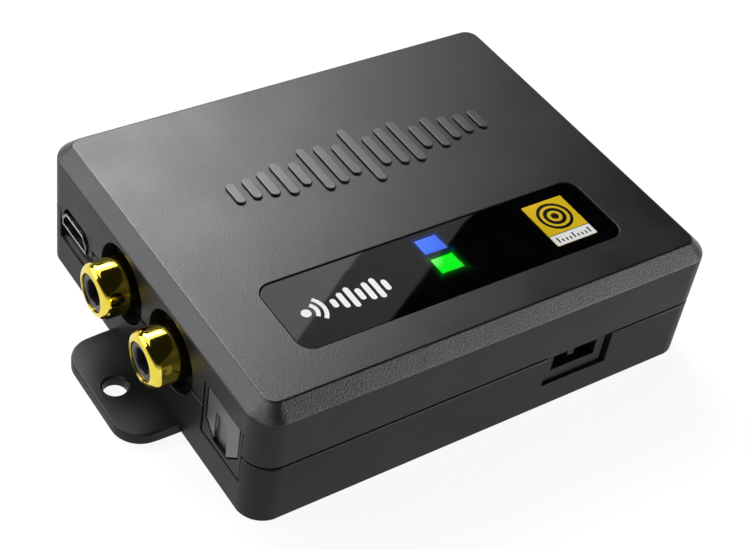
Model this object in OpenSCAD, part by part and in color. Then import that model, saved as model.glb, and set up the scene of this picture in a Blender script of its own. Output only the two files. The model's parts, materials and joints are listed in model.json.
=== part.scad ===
// Bluetooth audio receiver: a two-part plastic case with two phono jacks, an optical output
// with a sprung shutter, a micro-USB service port and a four-pin supply connector.
// Frame: origin at the centre of the underside, +X to the right along the long front edge,
// +Y to the back, +Z up. Millimetres.

/* [Case] */
// Width of the case between its side walls, without the mounting ears
body_w = 76; // [76:1:90]
// Depth of the case from front to back
body_d = 61; // [61:1:75]
// Height of the case to its flat top
body_h = 20.8; // [20.8:0.2:26]
// Radius of the upright corners
corner_r = 4; // [3.5:0.25:5]
// Thickness of the side walls
wall_t = 2; // [1.6:0.1:2.2]
// Thickness of the floor and of the roof
floor_t = 2; // [1.8:0.1:2.2]
// Height of the joint between the two shells
seam_z = 10.35; // [10:0.05:10.8]
// Height of the shadow groove at that joint
seam_gap = 0.4; // [0.2:0.05:0.6]
// How far the sloping top edge comes in
slope_in = 2.2; // [1:0.05:2.5]
// How far the sloping top edge comes down
slope_drop = 2.1; // [1:0.05:2.3]

/* [Mounting ears] */
// How far each ear stands out from the side wall
ear_reach = 8.3; // [8:0.1:12]
// Length of each ear along the side wall
ear_len = 20.2; // [16:0.2:26]
// Thickness of each ear
ear_t = 1.8; // [1.2:0.1:3]
// Radius of the outer corners of each ear
ear_r = 4.3; // [2:0.1:5]
// Middle of the ears along the side wall
ear_y = -1.5; // [-4:0.1:4]
// Radius of the screw hole in each ear
ear_hole_r = 1.75; // [1.4:0.05:2.2]
// Distance from the side wall to the middle of the screw hole
ear_hole_out = 4.9; // [4.5:0.1:5.5]

/* [Top face] */
// Length of the glossy window
window_w = 54; // [50:0.5:56]
// Width of the glossy window
window_d = 13; // [12:0.5:13.5]
// Corner radius of the window
window_r = 2.2; // [1.5:0.1:4]
// How far the window lies below the top face
window_sunk = 0.2; // [0.1:0.05:0.4]
// Number of raised bars in the decoration
bar_count = 17; // [9:2:17]
// Height of the raised bars above the top face
bar_rise = 0.35; // [0.2:0.05:0.6]

/* [Phono jacks] */
// Distance between the two jacks
jack_pitch = 14.45; // [14:0.05:15]
// Outer radius of a jack's sleeve
sleeve_r = 4.15; // [4.1:0.01:4.2]
// How far a jack stands out from the side wall
jack_out = 4.6; // [4:0.1:7]
// Radius of the clearance hole around each jack
jack_hole_r = 6.05; // [5.5:0.05:6.1]
// Height of the jacks' middle line
jack_z = 12.1; // [12:0.05:12.3]

/* [Optical output] */
// Width of the optical socket
opto_w = 9.75; // [9.6:0.05:9.9]
// Height of the optical socket above the circuit board
opto_h = 9.75; // [9.6:0.05:9.85]
// Middle of the optical socket along the side wall
opto_y = -21.5; // [-21.7:0.1:-21.2]

/* [Hidden] */
$fn = 48;

// Small gap that keeps fixed pieces from sharing space
fit = 0.05;
// Amount by which a cutting solid runs past a face
over = 0.5;

// Case: the two shells meet either side of the shadow groove
lower_top = seam_z - seam_gap / 2;
upper_bottom = seam_z + seam_gap / 2;
wall_x = body_w / 2;
wall_y = body_d / 2;
inner_w = body_w - 2 * wall_t;
inner_d = body_d - 2 * wall_t;
inner_r = corner_r - wall_t;
edge_break = 0.2;
roof_z = body_h - floor_t;
lip_t = wall_t / 2;
lip_rise = 0.95;
foot_break = 0.1;

// Circuit boards
board_t = 1.6;
board_top = 5;
board_gap = 0.7;
radio_t = 1.2;
radio_top = 8.75;
radio_low = radio_top - radio_t;

// Screw posts that join the shells
post_x = [-19, wall_x - 5.6];
post_y = [-wall_y + 5.5, wall_y - 5.5];
post_r = 2.6;
post_foot_r = 3;
post_meet = 6.4;
screw_r = 1.25;
screw_head_r = 2.2;
screw_head_z = 0.6;
screw_head_h = 1.8;
screw_end = 14;

// Window and what shows through it
window_y = -wall_y + 14.65;
window_t = 0.85;
window_slot = 0.15;
lamp_base_h = 0.5;
pipe_head_rise = 0.03;
pipe_flange_h = 0.88;
pipe_flange_low = roof_z - 0.9;
pipe_low = 10.65;
window_top = body_h - window_sunk;
window_low = window_top - window_t;
lamp_x = -0.2;
lamp_w = 3.5;
lamp_d = 2.8;
blue_y = -12.1;
green_y = -16.25;
badge_x = 19.9;
badge_y = -15.95;
badge_w = 7.2;
badge_d = 8.9;
badge_t = 0.1;

// Raised bars: a sound wave that swells in the middle
bar_w = 1.5;
bar_pitch = 2.65;
bars_x = 1.4;
bars_y = 8.2;
bar_min = 4.2;
bar_max = 12.5;

// Phono jacks
jacks_y = -0.28;
jack_hole_z = jack_z - 0.2;
jack_face = -wall_x - jack_out;
jack_block_front = -wall_x + wall_t + 0.2;
jack_block_back = jack_block_front + 11;
sleeve_in_r = 2.9;
sleeve_nose_r = 1.15;
sleeve_root_r = 3.8;
contact_r = 2.05;
contact_bore_r = 1.65;
contact_front = jack_face + 2.2;
jack_lead_t = 0.4;
jack_lead_shifts = [-0.1, 2.3];

// Optical output: the shutter hangs from a pin across the top of the socket
opto_front = -wall_x + 0.1;
opto_back = opto_front + 13.5;
opto_top = board_top + opto_h;
opto_side = opto_w / 2;
opto_foot = board_top + 0.6;
mouth_half = 4.2;
mouth_low = board_top + 1.45;
mouth_top = opto_top - 0.4;
mouth_cut = 2.5;
mouth_depth = 8.9;
hinge_r = 0.65;
hinge_x = opto_front + 0.85;
hinge_z = mouth_top - hinge_r - fit;
hinge_pin_r = 0.3;
shutter_front = opto_front + 0.05;
shutter_top = hinge_z + 0.75;
shutter_skin = 0.2;
shutter_half = mouth_half - 0.2;
shutter_low = mouth_low + 0.12;
shutter_panel_y0 = opto_y - 1.25;
shutter_panel_y1 = opto_y + 1.9;
shutter_panel_h = 5.5;
shutter_panel_depth = 0.5;
emitter_half = 2.5;
emitter_low = board_top + 2.1;
emitter_high = board_top + 7.5;
emitter_mid = board_top + 5;
emitter_gap = 0.1;
lead_pitch = 1.27;
lead_half = 0.25;
lead_t = 0.25;
lead_x = opto_back + fit;
lead_rise = 4;

// The shutter's spring: a close coil of fine wire on the pin
wire_r = 0.08;
wire_sides = 8;
coil_r = 0.46;
coil_turns = 4;
coil_steps = 16;
coil_pitch = 0.19;
coil_y0 = opto_y + shutter_half - 0.95;

// Micro-USB service port and the pocket that clears its plug
usb_y = 21.1;
usb_half = 3.75;
usb_h = 2.65;
usb_gap = 0.2;
usb_headroom = 0.75;
usb_metal = 0.25;
usb_front = -wall_x - 0.35;
usb_len = 5.6;
usb_low = radio_top + 0.1;
usb_inside = usb_front + usb_len - 0.42;
pocket_y0 = 15.7;
pocket_y1 = 26.2;
pocket_z0 = 5.3;
pocket_depth = 1.2;
tab_low = 9;
tab_side_gap = 0.25;

// Supply connector in a notch of the lower shell
power_x = 15.1;
notch_left = 5.65;
notch_right = 6.1;
notch_low = 4.6;
power_left = 5.55;
power_right = 5.3;
power_front = -wall_y + 0.5;
power_depth = 10;
power_top = upper_bottom - 0.15;
socket_half = 3.95;
socket_low = 6.9;
socket_top = 9.7;
socket_shift = 0.2;
socket_depth = 7;
key_x0 = -1.6;
key_x1 = -0.45;
key_drop = 0.95;
pin_pitch = 1.9;
pin_half = 0.28;
power_pins_n = 4;

// Headers that carry the radio board on the main board
header_x = [-19.5, 11.5];
header_n = 8;
header_pitch = 2.54;
header_y0 = -10;
header_half = 1.25;
header_pin_half = 0.32;

// Middles of the can capacitors
can_at = [[20, -2], [28.5, -2], [20, 6.5], [28.5, 6.5], [20, 15], [28.5, 15]];

// Middles of the pads that hold up the main board
support_at = [[-29, 10], [-29, -10], [0, 24], [0, -24], [30, 8], [30, -10], [16, 0]];

// ---- Shared shapes ----

// Round-cornered outline centred on the origin
module round_rect(w, d, r) {
    square([w - 2 * r, d], center = true);
    square([w, d - 2 * r], center = true);
    for (sx = [-1, 1], sy = [-1, 1])
        translate([sx * (w / 2 - r), sy * (d / 2 - r)])
            circle(r);
}

// Round-cornered block with a sloping edge at its top and a small one at its foot
module edged_block(w, d, r, z0, z1, top_in, top_drop, foot) {
    module section(half) {
        polygon([
            [-half + foot, z0], [half - foot, z0], [half, z0 + foot], [half, z1 - top_drop],
            [half - top_in, z1], [-half + top_in, z1], [-half, z1 - top_drop], [-half, z0 + foot]
        ]);
    }
    rotate([90, 0, 90])
        linear_extrude(w - 2 * r, center = true)
            section(d / 2);
    rotate([90, 0, 0])
        linear_extrude(d - 2 * r, center = true)
            section(w / 2);
    for (sx = [-1, 1], sy = [-1, 1])
        translate([sx * (w / 2 - r), sy * (d / 2 - r), 0])
            rotate_extrude()
                polygon([
                    [0, z0], [r - foot, z0], [r, z0 + foot],
                    [r, z1 - top_drop], [r - top_in, z1], [0, z1]
                ]);
}

// Box given by its lowest and highest corners
module span(low, high) {
    translate(low)
        cube(high - low);
}

// Cylinder along X from x0 to x1
module rod_x(r, x0, x1, y, z) {
    translate([x0, y, z])
        rotate([0, 90, 0])
            cylinder(h = x1 - x0, r = r);
}

// Cylinder along Y from y0 to y1
module rod_y(r, y0, y1, x, z) {
    translate([x, y1, z])
        rotate([90, 0, 0])
            cylinder(h = y1 - y0, r = r);
}

// Puts a copy at each of the four screw posts
module at_posts() {
    for (px = post_x, py = post_y)
        translate([px, py, 0])
            children();
}

// Place of a jack along the side wall: side is 1 for the rear one and -1 for the front one
function jack_y(side) = jacks_y + side * jack_pitch / 2;

// Outline of the optical mouth, square above and with cut corners below
module mouth_outline(half, low, top, cut) {
    polygon([
        [-half, top], [-half, low + cut], [-half + cut, low],
        [half - cut, low], [half, low + cut], [half, top]
    ]);
}

// Extrudes a side-view outline along X from x0 to x1, with its first axis along Y
module along_x(x0, x1) {
    translate([x0, 0, 0])
        rotate([90, 0, 90])
            linear_extrude(x1 - x0)
                children();
}

// ---- Case ----

module jack_clearance() {
    for (side = [-1, 1])
        rod_x(jack_hole_r, -wall_x - over, -wall_x + wall_t + over, jack_y(side), jack_hole_z);
}

module optical_window() {
    gap = 0.17;
    wide_gap = 0.3;
    span(
        [-wall_x - over, opto_y - opto_side - gap, opto_foot - wide_gap],
        [-wall_x + wall_t + over, opto_y + opto_side + wide_gap, opto_top + 0.1]
    );
}

module upper_shell() {
    color([0.20, 0.20, 0.21])
    difference() {
        union() {
            difference() {
                edged_block(
                    body_w, body_d, corner_r, upper_bottom, body_h, slope_in, slope_drop, edge_break
                );
                translate([0, 0, upper_bottom - over])
                    linear_extrude(roof_z - upper_bottom + over)
                        round_rect(inner_w, inner_d, inner_r);
                // rebate that receives the lip of the lower shell
                translate([0, 0, upper_bottom - over])
                    linear_extrude(lip_rise + fit + over)
                        round_rect(inner_w + 2 * (lip_t + fit), inner_d + 2 * (lip_t + fit), inner_r + lip_t);
            }
            // tab that frames the micro-USB port below the seam
            span(
                [-wall_x, pocket_y0 + tab_side_gap, tab_low],
                [-wall_x + pocket_depth - 0.1, pocket_y1 - tab_side_gap, upper_bottom + 1]
            );
            at_posts()
                translate([0, 0, post_meet + 0.1])
                    cylinder(h = roof_z - post_meet, r = post_r);
            raised_bars();
        }
        translate([0, window_y, window_low])
            linear_extrude(window_t + over)
                round_rect(window_w + 2 * window_slot, window_d + 2 * window_slot, window_r + window_slot);
        for (y = [blue_y, green_y])
            translate([lamp_x, y, roof_z - over])
                linear_extrude(floor_t)
                    square([lamp_w + 2 * fit, lamp_d + 2 * fit], center = true);
        at_posts()
            translate([0, 0, post_meet - over])
                cylinder(h = screw_end - post_meet + 1, r = screw_r + 0.02);
        jack_clearance();
        optical_window();
        // opening for the micro-USB port, which runs out through the foot of the tab
        translate([0, usb_y, tab_low - usb_gap])
            along_x(-wall_x - over, -wall_x + wall_t + over)
                usb_outline(usb_half + usb_gap, usb_low + usb_h - tab_low + usb_gap + usb_headroom);
    }
}

// Decoration on the top face
module raised_bars() {
    middle = (bar_count - 1) / 2;
    for (i = [0 : bar_count - 1]) {
        swell = 0.5 + 0.5 * cos(180 * (i - middle) / (middle + 1));
        beat = 0.62 + 0.38 * cos(135 * (i - middle));
        length = bar_min + (bar_max - bar_min) * swell * beat;
        translate([bars_x + (i - middle) * bar_pitch, bars_y, body_h - edge_break])
            linear_extrude(edge_break + bar_rise)
                round_bar(bar_w, length);
    }
}

// Bar with half-round ends
module round_bar(w, length) {
    square([w, length - w], center = true);
    for (side = [-1, 1])
        translate([0, side * (length - w) / 2])
            circle(w / 2);
}

module ear_outline() {
    difference() {
        union() {
            translate([-wall_x - ear_reach + ear_r, ear_y - ear_len / 2])
                square([ear_reach - ear_r + 1, ear_len]);
            translate([-wall_x - ear_reach, ear_y - ear_len / 2 + ear_r])
                square([ear_reach, ear_len - 2 * ear_r]);
            for (side = [-1, 1])
                translate([-wall_x - ear_reach + ear_r, ear_y + side * (ear_len / 2 - ear_r)])
                    circle(ear_r);
        }
        translate([-wall_x - ear_hole_out, ear_y])
            circle(ear_hole_r);
    }
}

module lower_shell() {
    usb_notch = 0.25;
    color([0.17, 0.17, 0.18])
    difference() {
        union() {
            difference() {
                union() {
                    edged_block(body_w, body_d, corner_r, 0, lower_top, edge_break, edge_break, foot_break);
                    translate([0, 0, lower_top - 1])
                        linear_extrude(1 + seam_gap + lip_rise)
                            round_rect(inner_w + 2 * lip_t, inner_d + 2 * lip_t, inner_r + lip_t);
                }
                translate([0, 0, floor_t])
                    linear_extrude(body_h)
                        round_rect(inner_w, inner_d, inner_r);
            }
            for (side = [0, 1])
                mirror([side, 0, 0])
                    linear_extrude(ear_t)
                        ear_outline();
            at_posts()
                translate([0, 0, 1])
                    cylinder(h = post_meet - 1, r = post_foot_r);
            for (at = support_at)
                translate([at[0], at[1], 1])
                    cylinder(h = board_top - board_t - 1, r = 1.5);
        }
        at_posts() {
            translate([0, 0, -over])
                cylinder(h = screw_head_z + screw_head_h + over, r = screw_head_r + 0.2);
            translate([0, 0, -over])
                cylinder(h = post_meet + 2 * over, r = screw_r + 0.1);
        }
        jack_clearance();
        optical_window();
        // pocket that clears the micro-USB plug, and the way in for the port itself
        span(
            [-wall_x - over, pocket_y0, pocket_z0],
            [-wall_x + pocket_depth, pocket_y1, lower_top + 2]
        );
        span(
            [-wall_x - over, usb_y - usb_half - usb_notch, radio_low - 0.1],
            [-wall_x + wall_t + over, usb_y + usb_half + usb_notch, lower_top + 2]
        );
        // notch for the supply connector
        span(
            [power_x - notch_left, -wall_y - over, notch_low],
            [power_x + notch_right, -wall_y + wall_t + over, lower_top + 2]
        );
    }
}

module case_screws() {
    head_top = screw_head_z + screw_head_h - 0.02;
    slot_half = 0.3;
    slot_reach = 1.3;
    slot_depth = 0.9;
    color([0.30, 0.30, 0.31])
    at_posts()
        difference() {
            rotate_extrude()
                polygon([
                    [0, screw_head_z], [screw_head_r - 0.5, screw_head_z],
                    [screw_head_r, screw_head_z + 0.4], [screw_head_r, head_top],
                    [screw_r, head_top], [screw_r, screw_end - 1],
                    [screw_r - 0.8, screw_end], [0, screw_end]
                ]);
            for (turn = [0, 90])
                rotate([0, 0, turn])
                    span(
                        [-slot_reach, -slot_half, screw_head_z - over],
                        [slot_reach, slot_half, screw_head_z + slot_depth]
                    );
        }
}

// ---- Top face ----

module display_window() {
    color([0.05, 0.05, 0.06])
    translate([0, window_y, window_low + 0.02])
        linear_extrude(window_t - 0.02)
            difference() {
                round_rect(window_w, window_d, window_r);
                for (y = [blue_y, green_y])
                    translate([lamp_x, y - window_y])
                        square([lamp_w + 2 * fit, lamp_d + 2 * fit], center = true);
            }
}

module badge() {
    color([0.90, 0.78, 0.15])
    translate([badge_x, badge_y, window_top])
        linear_extrude(badge_t)
            round_rect(badge_w, badge_d, 0.15);
}

// Clear guide that carries a lamp's light up to the window
module light_pipe(y, shade) {
    color(shade)
    translate([lamp_x, y, 0]) {
        translate([0, 0, pipe_flange_low])
            linear_extrude(window_top + pipe_head_rise - pipe_flange_low)
                square([lamp_w, lamp_d], center = true);
        translate([0, 0, pipe_flange_low])
            linear_extrude(pipe_flange_h)
                square([lamp_w + 1, lamp_d + 0.9], center = true);
        translate([0, 0, pipe_low])
            linear_extrude(pipe_flange_low + over - pipe_low)
                square([2.4, 2], center = true);
    }
}

module light_pipe_blue() {
    light_pipe(blue_y, [0.35, 0.50, 1.0]);
}

module light_pipe_green() {
    light_pipe(green_y, [0.15, 1.0, 0.2]);
}

// Surface-mounted lamp with its lens
module lamp(y, shade) {
    color(shade)
    translate([lamp_x, y, radio_top]) {
        linear_extrude(lamp_base_h)
            square([3.2, 1.6], center = true);
        translate([0, 0, lamp_base_h])
            cylinder(h = 0.6, r1 = 0.75, r2 = 0.6);
    }
}

module led_blue() {
    lamp(blue_y, [0.75, 0.80, 0.95]);
}

module led_green() {
    lamp(green_y, [0.75, 0.95, 0.78]);
}

// ---- Optical output ----

module optical_housing() {
    color([0.13, 0.13, 0.14])
    difference() {
        span(
            [opto_front, opto_y - opto_side, board_top],
            [opto_back, opto_y + opto_side, opto_top]
        );
        // step that lets the front pass through the wall above the board
        span(
            [opto_front - over, opto_y - opto_side - over, board_top - over],
            [-wall_x + wall_t + 0.2, opto_y + opto_side + over, opto_foot]
        );
        // rim cut back above the shutter, which swings in front of it
        span(
            [opto_front - over, opto_y - mouth_half, mouth_top - over],
            [hinge_x + fit, opto_y + mouth_half, opto_top + over]
        );
        translate([0, opto_y, 0])
            along_x(opto_front - over, opto_front + mouth_depth)
                mouth_outline(mouth_half, mouth_low, mouth_top, mouth_cut);
        // round seat of the plug's ferrule, and the pocket of the emitter behind it
        rod_x(1.3, opto_front + mouth_depth - over, opto_back - 2, opto_y, emitter_mid);
        span(
            [opto_back - 2.6, opto_y - emitter_half - emitter_gap, emitter_low - emitter_gap],
            [opto_back + over, opto_y + emitter_half + emitter_gap, emitter_high + emitter_gap]
        );
        rod_y(
            hinge_pin_r + 0.01, opto_y - opto_side + 0.15, opto_y + opto_side - 0.15, hinge_x, hinge_z
        );
    }
}

module optical_shutter() {
    spring_w = 1.1;
    color([0.24, 0.24, 0.25])
    difference() {
        union() {
            translate([0, opto_y, 0])
                along_x(shutter_front, hinge_x)
                    mouth_outline(shutter_half, shutter_low, shutter_top, mouth_cut);
            rod_y(hinge_r, opto_y - shutter_half, opto_y + shutter_half - spring_w, hinge_x, hinge_z);
        }
        rod_y(
            hinge_pin_r + 0.04, opto_y - shutter_half - over, opto_y + shutter_half + over,
            hinge_x, hinge_z
        );
        // pocket that clears the spring behind the outer skin
        span(
            [shutter_front + shutter_skin, opto_y + shutter_half - spring_w, hinge_z - hinge_r - 0.1],
            [hinge_x + hinge_r + over, opto_y + shutter_half + over, hinge_z + hinge_r + over]
        );
        // shallow panel in the outer face
        span(
            [shutter_front - over, shutter_panel_y0, shutter_low - over],
            [shutter_front + shutter_panel_depth, shutter_panel_y1, shutter_low + shutter_panel_h]
        );
    }
}

module shutter_pin() {
    color([0.75, 0.75, 0.77])
    rod_y(hinge_pin_r, opto_y - opto_side + 0.2, opto_y + opto_side - 0.2, hinge_x, hinge_z);
}

// Sweeps a round wire along points, which never run straight along Y
module wire(points, r, sides) {
    n = len(points);
    rings = [
        for (i = [0 : n - 1])
            let (
                ahead = points[min(i + 1, n - 1)] - points[max(i - 1, 0)],
                t = ahead / norm(ahead),
                b = cross([0, 1, 0], t) / norm(cross([0, 1, 0], t)),
                c = cross(t, b)
            )
            for (s = [0 : sides - 1])
                points[i] + r * (cos(360 * s / sides) * b + sin(360 * s / sides) * c)
    ];
    skin = [
        for (i = [0 : n - 2], s = [0 : sides - 1])
            [
                i * sides + s, i * sides + (s + 1) % sides,
                (i + 1) * sides + (s + 1) % sides, (i + 1) * sides + s
            ]
    ];
    polyhedron(
        rings,
        concat(
            skin,
            [[for (s = [sides - 1 : -1 : 0]) s], [for (s = [0 : sides - 1]) (n - 1) * sides + s]]
        ),
        convexity = 6
    );
}

module shutter_spring() {
    coil = [
        for (i = [coil_turns * coil_steps : -1 : 0])
            [
                hinge_x + coil_r * cos(360 * i / coil_steps),
                coil_y0 + coil_pitch * i / coil_steps,
                hinge_z + coil_r * sin(360 * i / coil_steps)
            ]
    ];
    color([0.70, 0.70, 0.72])
    wire(coil, wire_r, wire_sides);
}

module optical_emitter() {
    color([0.55, 0.12, 0.12])
    difference() {
        span(
            [opto_back - 2.5, opto_y - emitter_half, emitter_low],
            [opto_back - 0.1, opto_y + emitter_half, emitter_high]
        );
        rod_x(1.0, opto_back - 3, opto_back - 1.6, opto_y, emitter_mid);
    }
}

module optical_leads() {
    color([0.80, 0.80, 0.80])
    for (i = [-1 : 1])
        translate([0, opto_y + i * lead_pitch, 0]) {
            span(
                [lead_x, -lead_half, board_top - board_t - board_gap],
                [lead_x + lead_t, lead_half, board_top + lead_rise]
            );
            // end that turns in to the emitter
            span(
                [opto_back - emitter_gap, -lead_half, board_top + lead_rise - lead_t],
                [lead_x + lead_t, lead_half, board_top + lead_rise]
            );
        }
}

// ---- Phono jacks ----

module jack_housing() {
    half = 13.05;
    color([0.08, 0.08, 0.09])
    difference() {
        span(
            [jack_block_front, jacks_y - half, board_top],
            [jack_block_back, jacks_y + half, jack_z + 6.3]
        );
        for (side = [-1, 1]) {
            rod_x(
                sleeve_root_r + fit, jack_block_front - over, jack_block_front + 6, jack_y(side), jack_z
            );
            rod_x(
                contact_r + fit, jack_block_front - over, jack_block_back - 1.5, jack_y(side), jack_z
            );
            // moulded relief between the jack and the edge of the block
            span(
                [jack_block_back - 3, jack_y(side) - 3.4, jack_z - 3],
                [jack_block_back + over, jack_y(side) + 3.4, jack_z + 7]
            );
        }
        span(
            [jack_block_front + 3, jacks_y - 1.4, board_top - over],
            [jack_block_back + over, jacks_y + 1.4, jack_z + 7]
        );
    }
}

// Gold-plated outer sleeve with a rounded nose and a thinner root inside the block
module jack_sleeve(side) {
    back = jack_block_front - jack_face;
    wall = sleeve_r - sleeve_in_r;
    color([0.90, 0.75, 0.25])
    translate([jack_face, jack_y(side), jack_z])
        rotate([0, 90, 0])
            rotate_extrude()
                translate([sleeve_in_r, 0]) {
                    difference() {
                        square([wall, back]);
                        translate([wall - sleeve_nose_r, 0])
                            difference() {
                                translate([0, -over])
                                    square([sleeve_nose_r + over, sleeve_nose_r + over]);
                                translate([0, sleeve_nose_r])
                                    circle(sleeve_nose_r);
                            }
                    }
                    translate([0, back - 0.1])
                        square([sleeve_root_r - sleeve_in_r, 5.9]);
                }
}

module jack_sleeve_rear() {
    jack_sleeve(1);
}

module jack_sleeve_front() {
    jack_sleeve(-1);
}

// Insulating plug between the sleeve and the centre contact, with a lip in front of the contact
module jack_insulator(side) {
    depth = 10;
    outer = sleeve_in_r - 0.02;
    lip_r = 1.85;
    lip_back = 0.75;
    color([0.55, 0.53, 0.56])
    translate([jack_face + 0.25, jack_y(side), jack_z])
        rotate([0, 90, 0])
            rotate_extrude()
                polygon([
                    [lip_r, 0.3], [lip_r + 0.3, 0], [outer - 0.1, 0], [outer, 0.1],
                    [outer, depth], [contact_r + fit, depth], [contact_r + fit, lip_back],
                    [lip_r, lip_back]
                ]);
}

module jack_insulator_rear() {
    jack_insulator(1);
}

module jack_insulator_front() {
    jack_insulator(-1);
}

// Centre contact: a sprung tube closed at its inner end
module jack_contact(side) {
    back = jack_block_back - 1.6;
    color([0.86, 0.72, 0.30])
    difference() {
        rod_x(contact_r, contact_front, back, jack_y(side), jack_z);
        rod_x(contact_bore_r, jack_face, back - 1, jack_y(side), jack_z);
    }
}

module jack_contact_rear() {
    jack_contact(1);
}

module jack_contact_front() {
    jack_contact(-1);
}

module jack_leads() {
    color([0.80, 0.80, 0.80])
    for (side = [-1, 1], shift = jack_lead_shifts)
        span(
            [jack_block_back + 0.02, jack_y(side) + shift - 0.5, board_top - board_t - board_gap],
            [jack_block_back + jack_lead_t, jack_y(side) + shift + 0.5, board_top + 4]
        );
}

// ---- Micro-USB port ----

// Outline of the port, with its narrow side up
module usb_outline(half, h) {
    cut = 1;
    polygon([
        [-half, 0], [half, 0], [half, h - cut - 0.2], [half - cut, h],
        [-half + cut, h], [-half, h - cut - 0.2]
    ]);
}

module usb_shell() {
    color([0.78, 0.79, 0.80])
    difference() {
        translate([0, usb_y, usb_low])
            along_x(usb_front, usb_front + usb_len)
                usb_outline(usb_half, usb_h);
        translate([0, usb_y, usb_low + usb_metal])
            along_x(usb_front - over, usb_front + usb_len - 0.4)
                usb_outline(usb_half - usb_metal, usb_h - 2 * usb_metal);
    }
}

module usb_tongue() {
    base = usb_low + usb_metal;
    color([0.06, 0.06, 0.06])
    union() {
        span(
            [usb_inside - 1, usb_y - 2.3, base + 0.05],
            [usb_inside, usb_y + 2.3, base + usb_h - 2 * usb_metal - 0.05]
        );
        span(
            [usb_front + 1, usb_y - 1.8, base + 1.05],
            [usb_inside - 0.5, usb_y + 1.8, base + 1.55]
        );
    }
}

module usb_contacts() {
    base = usb_low + usb_metal;
    pitch = 0.65;
    half = 0.15;
    color([0.86, 0.72, 0.30])
    for (i = [-2 : 2])
        span(
            [usb_front + 1.3, usb_y + i * pitch - half, base + 0.95],
            [usb_inside - 1.02, usb_y + i * pitch + half, base + 1.04]
        );
}

// ---- Supply connector ----

module power_housing() {
    color([0.15, 0.15, 0.16])
    difference() {
        span(
            [power_x - power_left, power_front, board_top],
            [power_x + power_right, power_front + power_depth, power_top]
        );
        difference() {
            span(
                [power_x - socket_half - socket_shift, power_front - over, socket_low],
                [power_x + socket_half - socket_shift, power_front + socket_depth, socket_top]
            );
            // key that lets the plug in one way round
            span(
                [power_x + key_x0, power_front - 2 * over, socket_top - key_drop],
                [power_x + key_x1, power_front + socket_depth + 1, socket_top + over]
            );
        }
        for (i = [0 : power_pins_n - 1])
            span(
                [pin_x(i) - 0.35, power_front + 6, socket_low + 0.85],
                [pin_x(i) + 0.35, power_front + power_depth + over, socket_low + 1.55]
            );
    }
}

function pin_x(i) = power_x - socket_shift + (i - (power_pins_n - 1) / 2) * pin_pitch;

module power_pins() {
    pin_z = socket_low + 1.2;
    back = power_front + power_depth + 1;
    color([0.80, 0.78, 0.70])
    for (i = [0 : power_pins_n - 1]) {
        span(
            [pin_x(i) - pin_half, power_front + 1.5, pin_z - pin_half],
            [pin_x(i) + pin_half, back, pin_z + pin_half]
        );
        span(
            [pin_x(i) - pin_half, back - 2 * pin_half, board_top - board_t - board_gap],
            [pin_x(i) + pin_half, back, pin_z]
        );
    }
}

// ---- Circuit boards and what is on them ----

module main_board() {
    hole = 0.15;
    half_w = inner_w / 2 - board_gap;
    half_d = inner_d / 2 - board_gap;
    color([0.05, 0.28, 0.14])
    difference() {
        translate([0, 0, board_top - board_t])
            linear_extrude(board_t)
                round_rect(2 * half_w, 2 * half_d, 1.5);
        at_posts()
            translate([0, 0, -over])
                cylinder(h = body_h, r = post_foot_r + 0.2);
        // the corners outside the right-hand posts are left open
        for (side = [-1, 1])
            translate([half_w, side * half_d, 0])
                cube([4.5, 5, 3 * body_h], center = true);
        for (i = [-1 : 1])
            span(
                [lead_x - hole, opto_y + i * lead_pitch - lead_half - hole, 0],
                [lead_x + lead_t + hole, opto_y + i * lead_pitch + lead_half + hole, body_h]
            );
        for (side = [-1, 1], shift = jack_lead_shifts)
            span(
                [jack_block_back - hole, jack_y(side) + shift - 0.5 - hole, 0],
                [jack_block_back + jack_lead_t + hole, jack_y(side) + shift + 0.5 + hole, body_h]
            );
        for (i = [0 : power_pins_n - 1])
            translate([pin_x(i), power_front + power_depth + 1 - pin_half, 0])
                cylinder(h = body_h, r = 0.5);
    }
}

// Raised board that carries the radio and the service port
module radio_board() {
    color([0.04, 0.20, 0.30])
    translate([0, 0, radio_low])
        linear_extrude(radio_t)
            polygon([
                [-22.5, -19], [14, -19], [14, 21], [-22.5, 21], [-22.5, 26.6],
                [-35.2, 26.6], [-35.2, 14.2], [-22.5, 14.2]
            ]);
}

module board_headers() {
    hole_half = header_pin_half + 0.04;
    color([0.07, 0.07, 0.07])
    for (x = header_x)
        difference() {
            span(
                [x - header_half, header_y0 - header_half, board_top + 0.02],
                [x + header_half, header_y0 + (header_n - 1) * header_pitch + header_half, radio_low - 0.02]
            );
            for (i = [0 : header_n - 1])
                translate([x, header_y0 + i * header_pitch, radio_low])
                    cube([2 * hole_half, 2 * hole_half, body_h], center = true);
        }
}

module header_pins() {
    color([0.86, 0.72, 0.30])
    for (x = header_x, i = [0 : header_n - 1])
        span(
            [x - header_pin_half, header_y0 + i * header_pitch - header_pin_half, board_top + 0.02],
            [x + header_pin_half, header_y0 + i * header_pitch + header_pin_half, radio_low - 0.02]
        );
}

module radio_module() {
    color([0.05, 0.14, 0.20])
    span([-11, -5, radio_top], [8, 13, radio_top + 0.8]);
}

module radio_shield() {
    sheet = 0.2;
    low = radio_top + 0.8;
    color([0.80, 0.81, 0.82])
    difference() {
        span([-10.4, -4.4, low], [3.6, 9.4, low + 1.8]);
        span([-10.4 + sheet, -4.4 + sheet, low - over], [3.6 - sheet, 9.4 - sheet, low + 1.8 - sheet]);
    }
}

module antenna() {
    color([0.88, 0.86, 0.80])
    span([4.6, -2, radio_top + 0.8], [6.8, 8, radio_top + 2]);
}

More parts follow.
